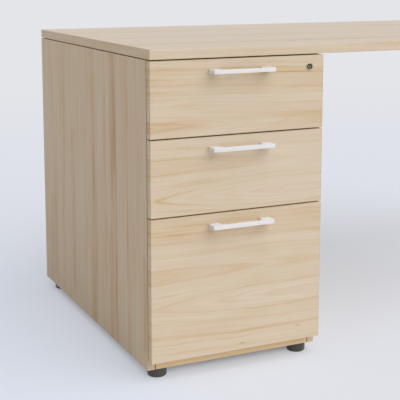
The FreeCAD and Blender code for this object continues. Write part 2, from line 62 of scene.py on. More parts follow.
# Pedestal carcass. Two side panels stand outside a top, a bottom and a back panel, all sawn from
# 18 mm chipboard with a printed beech laminate on both faces. The sawn edges that no strip covers
# show the chips, and the side panels carry their grain upright.
side_low, side_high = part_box("side_panel_left")
pedestal_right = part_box("side_panel_right")[1].x
pedestal_middle = (side_low.x + pedestal_right) / 2
pedestal_half = (pedestal_right - side_low.x) / 2


def colour(red, green, blue):
    """A colour written as it looks, 0 to 255, turned into linear light."""
    parts = [value / 255 for value in (red, green, blue)]
    return [p / 12.92 if p <= 0.04045 else ((p + 0.055) / 1.055) ** 2.4 for p in parts] + [1]


def add_node(tree, kind, sockets=(), **settings):
    """A shader node with its settings, and with its sockets set or linked."""
    made = tree.nodes.new(kind)
    for key, value in settings.items():
        setattr(made, key, value)
    for socket, value in dict(sockets).items():
        if isinstance(value, bpy.types.NodeSocket):
            tree.links.new(value, made.inputs[socket])
        else:
            made.inputs[socket].default_value = value
    return made


class Finish:
    """One surface finish, wired up from shader nodes on a piece's own coordinates."""

    def __init__(self, name, **sockets):
        self.material = bpy.data.materials.new(name)
        self.material.use_nodes = True
        self.tree = self.material.node_tree
        self.shader = self.tree.nodes["Principled BSDF"]
        for socket, value in sockets.items():
            self.shader.inputs[socket.replace("_", " ")].default_value = value
        place = self.add("ShaderNodeTexCoord")
        self.place = place.outputs["Object"]
        self.axes = self.split(self.place)
        self.facing = self.split(place.outputs["Normal"])

    def add(self, kind, sockets=(), **settings):
        return add_node(self.tree, kind, sockets, **settings)

    def split(self, vector):
        parts = self.add("ShaderNodeSeparateXYZ", {"Vector": vector}).outputs
        return {"X": parts[0], "Y": parts[1], "Z": parts[2]}

    def point(self, x=0.0, y=0.0, z=0.0):
        return self.add("ShaderNodeCombineXYZ", {"X": x, "Y": y, "Z": z}).outputs[0]

    def length(self, vector):
        return self.add("ShaderNodeVectorMath", {0: vector}, operation="LENGTH").outputs["Value"]

    def calc(self, operation, *values):
        return self.add("ShaderNodeMath", enumerate(values), operation=operation).outputs[0]

    def scaled(self, value, factor, offset=0.0):
        return self.calc("MULTIPLY_ADD", value, factor, offset)

    def centred(self, value, reach):
        """A value from 0 to 1 spread evenly about zero, as far as reach in all."""
        return self.scaled(value, reach, -reach / 2)

    def total(self, first, *others):
        for other in others:
            first = self.calc("ADD", first, other)
        return first

    def off(self, value, place):
        """How far a value lies from a place, on either side."""
        return self.calc("ABSOLUTE", self.scaled(value, 1, -place))

    def faces(self, axis, start=0.6, end=0.8, low=0.0, high=1.0):
        """High where the surface faces along an axis, either way, and low elsewhere."""
        return self.step(self.calc("ABSOLUTE", self.facing[axis]), start, end, low, high)

    def step(self, value, start, end, low=0.0, high=1.0):
        """A smooth change from low to high while value goes from start to end."""
        sockets = {"Value": value, "From Min": start, "From Max": end, "To Min": low, "To Max": high}
        return self.add("ShaderNodeMapRange", sockets, interpolation_type="SMOOTHSTEP").outputs[0]

    def noise(self, point, scale=1.0, detail=2.0, roughness=0.5):
        sockets = {"Vector": point, "Scale": scale, "Detail": detail, "Roughness": roughness}
        return self.add("ShaderNodeTexNoise", sockets).outputs[0]

    def fibres(self, along, across, spread, seed=0.0, detail=2):
        """Noise drawn out along the grain. Spread is how many changes a metre holds, along and across."""
        place = self.point(self.scaled(along, spread[0]), self.scaled(across, spread[1]), seed)
        return self.noise(place, detail=detail)

    def ramp(self, value, stops):
        """A colour for each place along value, or a plain number where the stops hold numbers."""
        made = self.add("ShaderNodeValToRGB", {"Fac": value})
        row = made.color_ramp.elements
        while len(row) < len(stops):
            row.new(1)
        for element, (place, shade) in zip(row, stops):
            element.position = place
            element.color = shade if isinstance(shade, list) else (shade, shade, shade, 1)
        return made.outputs[0]

    def mix(self, share, first, second):
        """A colour between two colours."""
        return self.add("ShaderNodeMix", {0: share, 6: first, 7: second}, data_type="RGBA").outputs[2]

    def blend(self, share, first, second):
        """A number between two numbers."""
        return self.add("ShaderNodeMix", {0: share, 2: first, 3: second}).outputs[0]

    def use(self, socket, value):
        self.tree.links.new(value, self.shader.inputs[socket])

    def bump(self, height, depth, strength=1.0):
        sockets = {"Height": height, "Distance": depth, "Strength": strength}
        self.use("Normal", self.add("ShaderNodeBump", sockets).outputs[0])

    def put_on(self, *nodes):
        """This finish on the nodes of the fixed frame."""
        for node in nodes:
            cad[node].material_slots[0].material = self.material


pale_beech = colour(222, 210, 194)
mid_beech = colour(214, 199, 176)
warm_beech = colour(208, 183, 146)
brown_beech = colour(187, 147, 98)
rosy_beech = colour(215, 193, 173)
chip_pale = colour(205, 178, 135)
chip_dark = colour(150, 115, 75)
broad_grain = {"spread": (1.3, 26)}
medium_grain = {"spread": (2.4, 95), "seed": 3.1, "detail": 4}
fine_grain = {"spread": (8, 520), "seed": 7.7, "detail": 3}
vein_grain = {"spread": (4.5, 210), "seed": 5.3, "detail": 3}
ray_grain = {"spread": (210, 1500), "detail": 1}
blush_grain = {"spread": (5, 42), "seed": 12.9, "detail": 3}
line_grain = {"spread": (3, 160), "seed": 9.1, "detail": 3}
wander_grain = {"spread": (1.6, 3)}
grain_wander = 16 * mm
streak_fade = 15 * mm
patches_per_metre = 7
patch_seed = 90
plain_tone = 0.42
vein_tone = 0.20
blush_share = 0.45
ray_share = 0.26
laminate_gloss = 0.34
laminate_roughness = 0.46
tone_roughness = 0.10
pore_depth = 0.06 * mm
chips_per_metre = 420.0


def beech_tone(finish, along, ring, base):
    """How dark the print is, 0 to 1: a base tone, with grain by the place along it and the growth ring."""
    parts = [
        finish.centred(finish.fibres(along, ring, **grain), reach)
        for grain, reach in ((broad_grain, 0.50), (medium_grain, 0.66), (fine_grain, 0.44))
    ]
    veins = finish.fibres(along, ring, **vein_grain)
    return finish.total(base, *parts, finish.step(veins, 0.55, 0.70, high=vein_tone))


def beech_fleck(finish, along, across):
    """The short dark rays that beech shows close to, 0 where there is none."""
    return finish.step(finish.fibres(along, across, **ray_grain), 0.60, 0.74)


def lay_beech(finish, along, ring, tone, fleck):
    """The printed colour: three inks from pale to brown, a faint blush drawn out along the grain, and
    the dark rays."""
    inks = finish.ramp(tone, [(0.0, pale_beech), (0.4, mid_beech), (0.68, warm_beech), (1.0, brown_beech)])
    blush = finish.step(finish.fibres(along, ring, **blush_grain), 0.36, 0.66, high=blush_share)
    return finish.mix(finish.scaled(fleck, ray_share), finish.mix(blush, inks, rosy_beech), brown_beech)


def gloss_beech(finish, tone, fleck):
    """Satin gloss, and pores pressed a little into the print."""
    finish.shader.inputs["Specular IOR Level"].default_value = laminate_gloss
    finish.use("Roughness", finish.scaled(tone, tone_roughness, laminate_roughness - tone_roughness / 2))
    finish.bump(finish.calc("SUBTRACT", tone, fleck), pore_depth, strength=0.35)


def add_chips(finish, face, print_colour):
    """Raw chipboard wherever the surface doesn't face along the board's thin axis."""
    cells = finish.add("ShaderNodeTexVoronoi", {"Vector": finish.place, "Scale": chips_per_metre})
    chip = finish.split(cells.outputs["Color"])["X"]
    chips = finish.ramp(chip, [(0.0, chip_dark), (0.35, chip_pale), (1.0, chip_pale)])
    return finish.mix(finish.faces(face, start=0.6, end=0.4), print_colour, chips)


def beech_board(name, grain, across, face, phase, streaks=(), tone=plain_tone):
    """Laminate for one board: straight grain, and broad brown streaks as (place, half width, strength,
    start, end) across and along the grain. Phase is where on the print the board was cut."""
    finish = Finish(name)
    along = finish.scaled(finish.axes[grain], 1, phase)
    wander = finish.fibres(along, finish.axes[across], **wander_grain)
    ring = finish.total(finish.axes[across], finish.centred(wander, grain_wander), phase)
    lines = finish.step(finish.fibres(along, ring, **line_grain), 0.30, 0.60, low=0.45, high=1.15)
    for place, half_width, strength, start, end in streaks:
        band = finish.step(finish.off(ring, phase + place), half_width, half_width * 0.35, high=strength)
        patchy = finish.noise(finish.point(finish.scaled(along, patches_per_metre), place * patch_seed))
        begins = finish.step(finish.axes[grain], start - streak_fade, start + streak_fade)
        ends = finish.step(finish.axes[grain], end + streak_fade, end - streak_fade)
        for share in (lines, finish.step(patchy, 0.25, 0.6, low=0.5), begins, ends):
            band = finish.calc("MULTIPLY", band, share)
        tone = finish.calc("ADD", tone, band)
    tone = beech_tone(finish, along, ring, tone)
    fleck = beech_fleck(finish, along, finish.axes[across])
    printed = lay_beech(finish, along, ring, tone, fleck)
    finish.use("Base Color", add_chips(finish, face, printed))
    gloss_beech(finish, tone, fleck)
    return finish


floor_z = 0.0
top_z = side_high.z
left_streaks = (
    (-8 * mm, 34 * mm, 0.22, floor_z, top_z),
    (-156 * mm, 40 * mm, 0.24, floor_z, top_z),
    (-160 * mm, 10 * mm, 0.22, 440 * mm, top_z),
    (-96 * mm, 18 * mm, 0.12, floor_z, 620 * mm),
    (-248 * mm, 12 * mm, 0.24, floor_z, top_z),
    (-351 * mm, 18 * mm, 0.30, 60 * mm, 280 * mm),
    (148 * mm, 24 * mm, 0.22, 60 * mm, 500 * mm),
    (232 * mm, 18 * mm, 0.12, 60 * mm, top_z),
    (331 * mm, 32 * mm, 0.26, 60 * mm, 285 * mm),
)
right_streaks = (
    (210 * mm, 25 * mm, 0.22, floor_z, top_z),
    (-90 * mm, 15 * mm, 0.20, 200 * mm, top_z),
    (60 * mm, 10 * mm, 0.15, floor_z, 420 * mm),
)
back_streaks = (
    (pedestal_middle + 70 * mm, 20 * mm, 0.2, floor_z, top_z),
    (pedestal_middle - 120 * mm, 12 * mm, 0.15, 150 * mm, top_z),
)
# Painted shade, in part: the side panels' print is darker and warmer than the other boards', to darken the
# left side that faces away from the lamp; the right panel shares it.
side_shade_tone = 0.56
for panel, phase, streaks in (
    ("side_panel_left", 0.0, left_streaks),
    ("side_panel_right", 2.7, right_streaks),
):
    beech_board(f"{panel}_beech", "Z", "Y", "X", phase, streaks, side_shade_tone).put_on(panel)
beech_board("back_panel_beech", "Z", "X", "Y", phase=5.1, streaks=back_streaks).put_on("pedestal_back")
beech_board("cross_panel_beech", "X", "Y", "Z", phase=7.9).put_on("pedestal_top", "pedestal_bottom")

# Edge strips of the pedestal. Plastic strip 1 mm thick, printed with the same beech, glued along the
# front and back edges of the side panels and, yellower and paler, on the front edges of the cross
# panels. Their paler colour is painted light that makes up for the shade under the drawer fronts. A
# fine dark joint shows where a cross panel butts against a side panel.
board_depth = 18 * mm
joint_line = 1.5 * mm
joint_blur = 0.1 * mm
strip_base = 0.5
yellow_lit_share = 0.7
# Paler than the laminate: painted light on the strip under the drawer fronts, which lies in their shade.
cross_strip_lit_tint = colour(231, 204, 158)
joint_brown = colour(60, 38, 19)
edge_finish = Finish("pedestal_edge_strip")
from_middle = edge_finish.off(edge_finish.axes["X"], pedestal_middle)
joint_place = pedestal_half - board_depth
upright = edge_finish.step(from_middle, joint_place - joint_blur, joint_place + joint_blur)
joint = edge_finish.step(edge_finish.off(from_middle, joint_place), joint_line, joint_line / 3)
strip_along = edge_finish.blend(upright, edge_finish.axes["X"], edge_finish.axes["Z"])
strip_across = edge_finish.blend(upright, edge_finish.axes["Z"], edge_finish.axes["X"])
strip_tone = beech_tone(edge_finish, strip_along, strip_across, strip_base)
strip_fleck = beech_fleck(edge_finish, strip_along, strip_across)
strip_print = lay_beech(edge_finish, strip_along, strip_across, strip_tone, strip_fleck)
yellowed_lit = edge_finish.scaled(upright, -yellow_lit_share, yellow_lit_share)
strip_print = edge_finish.mix(yellowed_lit, strip_print, cross_strip_lit_tint)
edge_finish.use("Base Color", edge_finish.mix(joint, strip_print, joint_brown))
gloss_beech(edge_finish, strip_tone, strip_fleck)
edge_finish.put_on("pedestal_edging")

# Dowels and cam fittings. Beech pegs and zinc cams hold the carcass boards together. Pegs are glued
# half in each board, and each cam is turned with a screwdriver to draw its bolt tight.
dowel_finish = Finish("beech_peg", Roughness=0.7)
peg_grain = dowel_finish.noise(dowel_finish.place, scale=600, detail=3)
peg_pale, peg_dark = colour(222, 196, 150), colour(190, 155, 108)
dowel_finish.use("Base Color", dowel_finish.ramp(peg_grain, [(0.3, peg_pale), (0.7, peg_dark)]))
dowel_finish.bump(peg_grain, depth=0.1 * mm)
dowel_finish.put_on("dowels")
rolled_along, rolled_across = 25, 1800
metal_depth = 0.02 * mm
metal_unevenness = 0.3


def plated_metal(name, tint, roughness, rolled=None):
    """Bare or plated metal, with rolling marks along one axis or the dull grain of a casting."""
    finish = Finish(name, Metallic=1.0)
    if rolled:
        scales = [rolled_along if axis == rolled else rolled_across for axis in "XYZ"]
        stretched = [finish.scaled(finish.axes[axis], scale) for axis, scale in zip("XYZ", scales)]
        marks = finish.noise(finish.point(*stretched), detail=3)
    else:
        marks = finish.noise(finish.place, scale=1400, detail=3)
    clouds = finish.noise(finish.place, scale=22)
    shade = finish.total(finish.scaled(marks, 0.3), finish.scaled(clouds, 0.7))
    bright = [min(1, part * 1.12) for part in tint[:3]] + [1]
    dull = [part * 0.80 for part in tint[:3]] + [1]
    finish.use("Base Color", finish.ramp(shade, [(0.3, dull), (0.7, bright)]))
    finish.use("Roughness", finish.scaled(shade, metal_unevenness, roughness - metal_unevenness / 2))
    finish.bump(marks, metal_depth, strength=0.5)
    return finish


zinc_tint = colour(190, 192, 194)
cast_tint = colour(178, 179, 180)
plated_metal("cast_zinc", cast_tint, roughness=0.5).put_on("cam_fittings", "lock_cam")

# Sockets, lock bar, guides and buffers. Plated steel sockets are pressed into the bottom panel and the
# floor rail for the feet. The lock bar slides up the right side panel between moulded guides, and soft
# clear buffers on the carcass edges quieten the drawer fronts.
skin_unevenness = 0.12


def moulded(name, tint, roughness, grain, depth, clouding=0.05, **sockets):
    """Moulded plastic, rubber or paint: a fine even grain, with faint clouding in the colour."""
    finish = Finish(name, **sockets)
    skin = finish.noise(finish.place, grain)
    clouds = finish.noise(finish.place, scale=35, detail=3)
    light = [min(1, part * (1 + clouding)) for part in tint[:3]] + [1]
    dark = [part * (1 - clouding) for part in tint[:3]] + [1]
    finish.use("Base Color", finish.ramp(clouds, [(0.25, dark), (0.75, light)]))
    matt = finish.scaled(skin, skin_unevenness, roughness - skin_unevenness)
    finish.use("Roughness", finish.total(matt, finish.scaled(clouds, skin_unevenness)))
    finish.bump(skin, depth, strength=0.6)
    return finish


steel_roughness = 0.35
guide_grey = colour(120, 121, 122)
buffer_clear = colour(222, 220, 212)
gel = {"Subsurface_Weight": 0.4, "Subsurface_Scale": 2 * mm}
plated_metal("socket_steel", zinc_tint, steel_roughness).put_on("foot_sockets")
plated_metal("lock_bar_steel", zinc_tint, steel_roughness, rolled="Z").put_on("locking_bar")
guide_finish = moulded("guide_plastic", guide_grey, roughness=0.5, grain=1500, depth=0.03 * mm)
guide_finish.put_on("bar_guides")
buffer_finish = moulded("buffer_gel", buffer_clear, roughness=0.3, grain=900, depth=0.02 * mm, **gel)
buffer_finish.put_on("front_buffers")

# Pedestal feet. Charcoal nylon glides moulded round plated M10 stems, screwed into the sockets until
# the desk stands level. The wall is smooth above a rounded lower edge, with one parting groove.
thread_pitch = 1.5 * mm
parting_depth = 4.5 * mm
groove = 0.4 * mm
foot_recess = 0.6 * mm
recess_inner, recess_outer = 0.62, 0.66
top_round = 1.2 * mm
collar_height = 0.2 * mm
collar_reach = 1.6
stem_tip = 0.6
thread_root = 0.86
crest_start, crest_end = 0.4, 0.55
thread_start = 0.3 * mm
stem_sink = 1 * mm
stem_point = 1 * mm
smooth_angle = math.radians(35)
merge_distance = 0.002 * mm


def finish_mesh(piece):
    """Bakes the piece's place into its mesh and smooths all but its sharp edges."""
    bpy.ops.object.select_all(action="DESELECT")
    piece.select_set(True)
    bpy.context.view_layer.objects.active = piece
    bpy.ops.object.transform_apply(location=True, rotation=True, scale=True)
    bpy.ops.object.shade_smooth_by_angle(angle=smooth_angle)
    piece.select_set(False)


def fit(piece, finish, body, slot, *nodes):
    """Gives a finished piece its finish and its body, and hides the nodes it stands for. Slot is not used.
    """
    piece.data.materials.clear()
    piece.data.materials.append(finish.material)
    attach(piece, body)
    if nodes:
        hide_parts(*nodes)


def turned(name, centre, axis, profile, steps=64):
    """A piece turned round an axis through centre, from its half section as (radius, distance along)."""
    axis = Vector(axis)
    out = Vector((0, 0, 1)) if abs(axis.x) > 0.5 else Vector((1, 0, 0))
    places = [centre + out * radius + axis * along for radius, along in profile]
    bpy.ops.mesh.primitive_plane_add(size=mm, location=places[0])
    piece = bpy.context.object
    piece.name = piece.data.name = name
    bpy.ops.object.mode_set(mode="EDIT")
    bpy.ops.mesh.select_mode(type="VERT")
    bpy.ops.mesh.merge(type="CENTER")
    for start, end in zip(places, places[1:]):
        bpy.ops.mesh.extrude_region_move(TRANSFORM_OT_translate={"value": end - start})
    bpy.ops.mesh.select_all(action="SELECT")
    bpy.ops.mesh.spin(steps=steps, angle=math.tau, center=centre, axis=axis)
    bpy.ops.mesh.select_all(action="SELECT")
    bpy.ops.mesh.remove_doubles(threshold=merge_distance)
    bpy.ops.mesh.normals_make_consistent(inside=False)
    bpy.ops.object.mode_set(mode="OBJECT")
    finish_mesh(piece)
    return piece


def arc(radius, along, size, start, end, parts=6):
    """Points of a rounded corner in a half section, from one angle in degrees to another."""
    angles = [math.radians(start + (end - start) * part / parts) for part in range(parts + 1)]
    return [(radius + size * math.cos(angle), along + size * math.sin(angle)) for angle in angles]


def joined(name, pieces):
    """Several solids as one piece."""
    bpy.ops.object.select_all(action="DESELECT")
    for piece in pieces:
        piece.select_set(True)
    bpy.context.view_layer.objects.active = pieces[0]
    if len(pieces) > 1:
        bpy.ops.object.join()
    pieces[0].name = pieces[0].data.name = name
    pieces[0].select_set(False)
    return pieces[0]


foot_charcoal = colour(74, 73, 71)
foot_finish = moulded("charcoal_nylon", foot_charcoal, roughness=0.42, grain=1100, depth=0.05 * mm)


def levelling_foot(node, pad_top, rounding, stem_radius):
    """A glide with a parting groove, a collar and a threaded stem, in the space that its node holds."""
    low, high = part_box(node)
    centre = Vector(((low.x + high.x) / 2, (low.y + high.y) / 2, low.z))
    radius = (high.x - low.x) / 2
    parting = pad_top - parting_depth
    outline = [(0, foot_recess), (radius * recess_inner, foot_recess), (radius * recess_outer, 0)]
    outline += arc(radius - rounding, rounding, rounding, -90, 0, 10)
    outline += [(radius, parting), (radius - groove, parting + groove), (radius, parting + groove * 2)]
    outline += arc(radius - top_round, pad_top - top_round, top_round, 0, 90, 4)
    collar = stem_radius * collar_reach
    outline += [(collar, pad_top), (collar, pad_top + collar_height), (0, pad_top + collar_height)]
    pad = turned(f"{node}_pad", centre, (0, 0, 1), outline)
    top = high.z - low.z
    core = stem_radius * thread_root
    thread = [(0, pad_top - stem_sink), (core, pad_top - stem_sink)]
    height = pad_top + thread_start
    while height + thread_pitch < top - stem_point:
        thread += [(core, height), (stem_radius, height + thread_pitch * crest_start)]
        thread += [(stem_radius, height + thread_pitch * crest_end)]
        height += thread_pitch
    thread += [(core, height), (core, top - stem_point), (stem_radius * stem_tip, top), (0, top)]
    stem = turned(f"{node}_stem", centre, (0, 0, 1), thread, 32)
    fit(pad, foot_finish, node, "foot_plastic", node)
    fit(stem, plated_metal(f"{node}_stem_steel", zinc_tint, steel_roughness), node, "bright_steel")


for node in ("foot_front_left", "foot_front_right", "foot_rear_left", "foot_rear_right"):
    levelling_foot(node, pad_top=21.6 * mm, rounding=5 * mm, stem_radius=5 * mm)

# Drawer slides. Full-extension ball-bearing slides, three nested channels of zinc-plated steel sheet a
# side: one screwed to the side panel, one to the drawer box and one between them.
slide_finish = plated_metal("slide_sheet", zinc_tint, roughness=0.32, rolled="Y")
for drawer in ("drawer_1", "drawer_2", "drawer_3"):
    for member in ("fixed", "middle", "moving"):
        slide_finish.put_on(f"{drawer}_slides_{member}")

# Drawer boxes. Two sides and a back of 12 mm board wrapped in pale grey foil, with a thin bottom let
# into grooves. The tall box has steel rails along its sides for hanging files.
foil = {"roughness": 0.5, "grain": 700, "depth": 0.03 * mm, "clouding": 0.015}
box_finish = moulded("drawer_box_foil", colour(228, 228, 227), **foil)
for drawer in ("drawer_1", "drawer_2", "drawer_3"):
    box_finish.put_on(f"{drawer}_box_sides", f"{drawer}_box_back", f"{drawer}_box_bottom")
slide_finish.put_on("drawer_3_file_rails")

# Drawer fronts. Beech laminate boards cut from one run of the print, so its figure comes back from
# front to front: two flames that point opposite ways, with warm and pale bands between them. A plastic
# strip 1 mm thick, yellower on its upper and lower runs, is glued round each and leaves a hairline seam.
# The yellower upper and lower runs are in part painted shade, warming the gaps between the fronts, and
# the darker print on the fronts' ends is painted shade.
front_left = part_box("drawer_3_front")[0].x
right_flame = {"depth": 131 * mm, "vanish": -121 * mm, "slope": 0.05}
left_flame = {"depth": 203 * mm, "vanish": 392 * mm, "slope": -0.08}
ring_span = 130 * mm
strip_thickness = 1.0 * mm
seam_reach, seam_core, seam_share = 0.3 * mm, 0.05 * mm, 0.4
gap_shade_amber = colour(221, 192, 146)
gap_shade_share = 0.85
pin_length, pin_height, pin_tone = 13 * mm, 3.2 * mm, 0.55
flame_change = 8 * mm
pointedness = 1.65
flame_middle = 0.45
front_tone = 0.40
front_end_shade_tone = 0.20
hair_tone = 0.50
fade_grain = {"spread": (9, 30), "seed": 1.7}
hair_grain = {"spread": (3.2, 260), "seed": 21.5, "detail": 3}
band_grain = {"spread": (5, 110), "seed": 4.4, "detail": 3}
wander_seed = 900
wander_scales = ((3.5, 14, 9 * mm), (11, 42, 6 * mm), (34, 150, 3 * mm), (95, 420, 1.2 * mm))
right_flame_tones = (
    (0, 0.66), (14, 0.60), (18.5, 0.64), (19.6, 0.84), (20.6, 0.44), (34, 0.34), (48, 0.42), (60, 0.30),
    (70, 0.36), (74, 0.68), (78, 0.62), (95, 0.66), (110, 0.58), (120, 0.64), (127, 0.74), (130, 0.45),
)
left_flame_tones = (
    (0, 0.40), (9, 0.36), (13, 0.14), (17, 0.40), (21, 0.18), (24, 0.40), (28.5, 0.46), (30, 0.74),
    (32, 0.42), (44, 0.34), (56, 0.44), (66, 0.38), (76, 0.58), (80, 0.84), (84, 0.48), (100, 0.40),
)


def flame(finish, along, depth, shape):
    """The growth ring at a place in a flame: its distance from a line that rises out of the board, by a
    measure that makes the tip of each ring pointed."""
    aside = finish.off(depth, shape["depth"])
    lift = finish.calc("ABSOLUTE", finish.scaled(along, shape["slope"], -shape["vanish"] * shape["slope"]))
    parts = [finish.calc("POWER", part, pointedness) for part in (aside, lift)]
    return finish.calc("POWER", finish.total(*parts), 1 / pointedness)


def front_figure(finish, along, depth):
    """How dark the flames are, and the growth ring, at a place on the print."""
    rings = [flame(finish, along, depth, shape) for shape in (right_flame, left_flame)]
    tones = []
    for ring, stops in zip(rings, (right_flame_tones, left_flame_tones)):
        shares = [(place * mm / ring_span, tone) for place, tone in stops]
        tones.append(finish.ramp(finish.calc("DIVIDE", ring, ring_span), shares))
    lower = finish.step(finish.calc("SUBTRACT", *rings), -flame_change, flame_change)
    contrast = finish.step(finish.fibres(along, depth, **fade_grain), 0.3, 0.62, low=0.45)
    figure = finish.scaled(finish.blend(lower, *tones), 1, -flame_middle)
    figure = finish.scaled(finish.calc("MULTIPLY", figure, contrast), 1, front_tone)
    return figure, finish.blend(lower, *rings)


def edge_seam(finish, low, high):
    """The hairline between a front's face and its edge strip, 0 where there is none."""
    inset = finish.calc("SUBTRACT", finish.axes["X"], low.x)
    for other in (
        finish.scaled(finish.axes["X"], -1, high.x),
        finish.calc("SUBTRACT", finish.axes["Z"], low.z),
        finish.scaled(finish.axes["Z"], -1, high.z),
    ):
        inset = finish.calc("MINIMUM", inset, other)
    return finish.step(finish.off(inset, strip_thickness), seam_reach, seam_core, high=seam_share)


def front_board(drawer, print_start, print_shift, pins=(), bands=()):
    """Laminate for one front, cut print_start down the print and print_shift along it. Pins are the
    places of pin knots, across from the front's left end and up from the floor. Bands are warm bands,
    or pale ones where the strength is negative, as (height from the floor, half width, strength)."""
    low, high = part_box(f"{drawer}_front")
    finish = Finish(f"{drawer}_front_beech")
    along = finish.scaled(finish.axes["X"], 1, print_shift - front_left)
    depth = finish.scaled(finish.axes["Z"], -1, high.z + print_start)
    for along_scale, depth_scale, reach in wander_scales:
        wander = finish.fibres(along, depth, (along_scale, depth_scale), reach * wander_seed)
        depth = finish.total(depth, finish.centred(wander, reach))
    figure, ring = front_figure(finish, along, depth)
    ring = finish.total(ring, print_start)
    hairs = finish.centred(finish.fibres(along, ring, **hair_grain), hair_tone)
    tone = beech_tone(finish, along, ring, figure)
    # Painted shade: the fronts' end faces are printed darker.
    tone = finish.total(tone, finish.faces("X", high=front_end_shade_tone), hairs)
    for pin_x, pin_z in pins:
        off_x = finish.scaled(finish.axes["X"], 1 / pin_length, -(low.x + pin_x) / pin_length)
        off_z = finish.scaled(finish.axes["Z"], 1 / pin_height, -pin_z / pin_height)
        off_pin = finish.length(finish.point(off_x, 0.0, off_z))
        tone = finish.calc("ADD", tone, finish.step(off_pin, 1.0, 0.1, high=pin_tone))
    for height, half_width, strength in bands:
        off_band = finish.off(depth, high.z + print_start - height)
        band = finish.step(off_band, half_width, half_width * 0.3, high=strength)
        streaky = finish.step(finish.fibres(along, depth, **band_grain), 0.38, 0.62, low=0.35, high=1.15)
        tone = finish.calc("ADD", tone, finish.calc("MULTIPLY", band, streaky))
    fleck = beech_fleck(finish, along, depth)
    printed = lay_beech(finish, along, ring, tone, fleck)
    # Painted shade, in part: the upper and lower edges turn warmer, so the gaps between fronts look warm.
    printed = finish.mix(finish.faces("Z", high=gap_shade_share), printed, gap_shade_amber)
    finish.use("Base Color", finish.mix(edge_seam(finish, low, high), printed, joint_brown))
    gloss_beech(finish, tone, fleck)
    finish.put_on(f"{drawer}_front")


upper_bands = ((574 * mm, 24 * mm, 0.22), (631 * mm, 14 * mm, -0.05))
lowest_pins = ((370 * mm, 81 * mm), (224 * mm, 61 * mm))
front_board("drawer_1", print_start=-12 * mm, print_shift=180 * mm, bands=upper_bands)
front_board("drawer_2", print_start=71 * mm, print_shift=0.0)
front_board("drawer_3", print_start=0.0, print_shift=0.0, pins=lowest_pins)

# Handles. Flat bow handles of cast metal in white satin lacquer: a slim bar on two broad posts that
# sweep into it, each held by a screw from inside the drawer front.
lacquer = {"roughness": 0.42, "grain": 1300, "depth": 0.004 * mm, "clouding": 0.012}
handle_finish = moulded("handle_lacquer", colour(231, 231, 235), **lacquer, Specular_IOR_Level=0.25)
bar_height = 8.8 * mm
bar_depth = 8 * mm
post_width = 24 * mm
sweep = 14 * mm
corner = 2.5 * mm
softness = 1.2 * mm
soften_over = math.radians(50)
near = 0.1 * mm
handle_merge = 0.01 * mm


def pick(piece, kind, *tests):
    """Selects the faces or edges whose points all pass one of the tests."""
    bpy.ops.mesh.select_mode(type=kind)
    bpy.ops.mesh.select_all(action="DESELECT")
    shape = bmesh.from_edit_mesh(piece.data)
    for element in shape.faces if kind == "FACE" else shape.edges:
        points = [vertex.co for vertex in element.verts]
        if any(all(test(point) for point in points) for test in tests):
            element.select_set(True)
    bmesh.update_edit_mesh(piece.data)


def bow_handle(drawer):
    low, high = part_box(f"{drawer}_handle")
    middle = (low + high) / 2
    bpy.ops.mesh.primitive_cube_add(size=1, location=(middle.x, low.y + bar_depth / 2, middle.z))
    handle = bpy.context.object
    handle.scale = (high.x - low.x, bar_depth, bar_height)
    bpy.ops.object.transform_apply(location=True, rotation=True, scale=True)
    bpy.ops.object.mode_set(mode="EDIT")
    reach = (high.x - low.x) / 2
    for side in (-1, 1):
        bpy.ops.mesh.select_all(action="SELECT")
        bpy.ops.mesh.bisect(plane_co=(middle.x + side * (reach - post_width), 0, 0), plane_no=(1, 0, 0))
    bar_back = low.y + bar_depth
    post_left, post_right = middle.x - reach + post_width, middle.x + reach - post_width
    for beyond in (lambda p: p.x < post_left + near, lambda p: p.x > post_right - near):
        pick(handle, "FACE", lambda p: p.y > bar_back - near and beyond(p))
        bpy.ops.mesh.extrude_region_move(TRANSFORM_OT_translate={"value": (0, high.y - bar_back, 0)})
    pick(
        handle,
        "EDGE",
        lambda p: abs(p.y - bar_back) < near and abs(p.x - post_left) < near,
        lambda p: abs(p.y - bar_back) < near and abs(p.x - post_right) < near,
    )
    bpy.ops.mesh.bevel(offset=sweep, segments=12, affect="EDGES")
    pick(
        handle,
        "EDGE",
        lambda p: p.y < low.y + near and p.x < low.x + near,
        lambda p: p.y < low.y + near and p.x > high.x - near,
    )
    bpy.ops.mesh.bevel(offset=corner, segments=5, affect="EDGES")
    bpy.ops.object.mode_set(mode="OBJECT")
    soften = handle.modifiers.new("soften", "BEVEL")
    soften.width = softness
    soften.segments = 4
    soften.limit_method = "ANGLE"
    soften.angle_limit = soften_over
    bpy.ops.object.modifier_apply(modifier=soften.name)
    bpy.ops.object.mode_set(mode="EDIT")
    bpy.ops.mesh.select_mode(type="VERT")
    bpy.ops.mesh.select_all(action="SELECT")
    bpy.ops.mesh.remove_doubles(threshold=handle_merge)
    bpy.ops.object.mode_set(mode="OBJECT")
    handle.name = handle.data.name = f"{drawer}_bow_handle"
    finish_mesh(handle)
    fit(handle, handle_finish, drawer, "white_handle", f"{drawer}_handle")


for drawer in ("drawer_1", "drawer_2", "drawer_3"):
    bow_handle(drawer)

# Handle screws. Zinc-plated pan-head machine screws with a cross recess go through the drawer front
# from inside the drawer and into the handle's posts.
screw_finish = plated_metal("screw_zinc", zinc_tint, roughness=0.3)
handle_screw = {"head_height": 2.5 * mm, "stem_radius": 2 * mm, "pitch": 1.0 * mm}
corner_merge = 0.001 * mm
crown_share = 0.7
head_rim = 0.95
screw_root = 0.78
thread_from = 1.2
crest_place, root_place = 0.4, 0.8
tip_share = 0.5
recess_reach, recess_width, recess_lift = 1.1, 0.24, 0.1


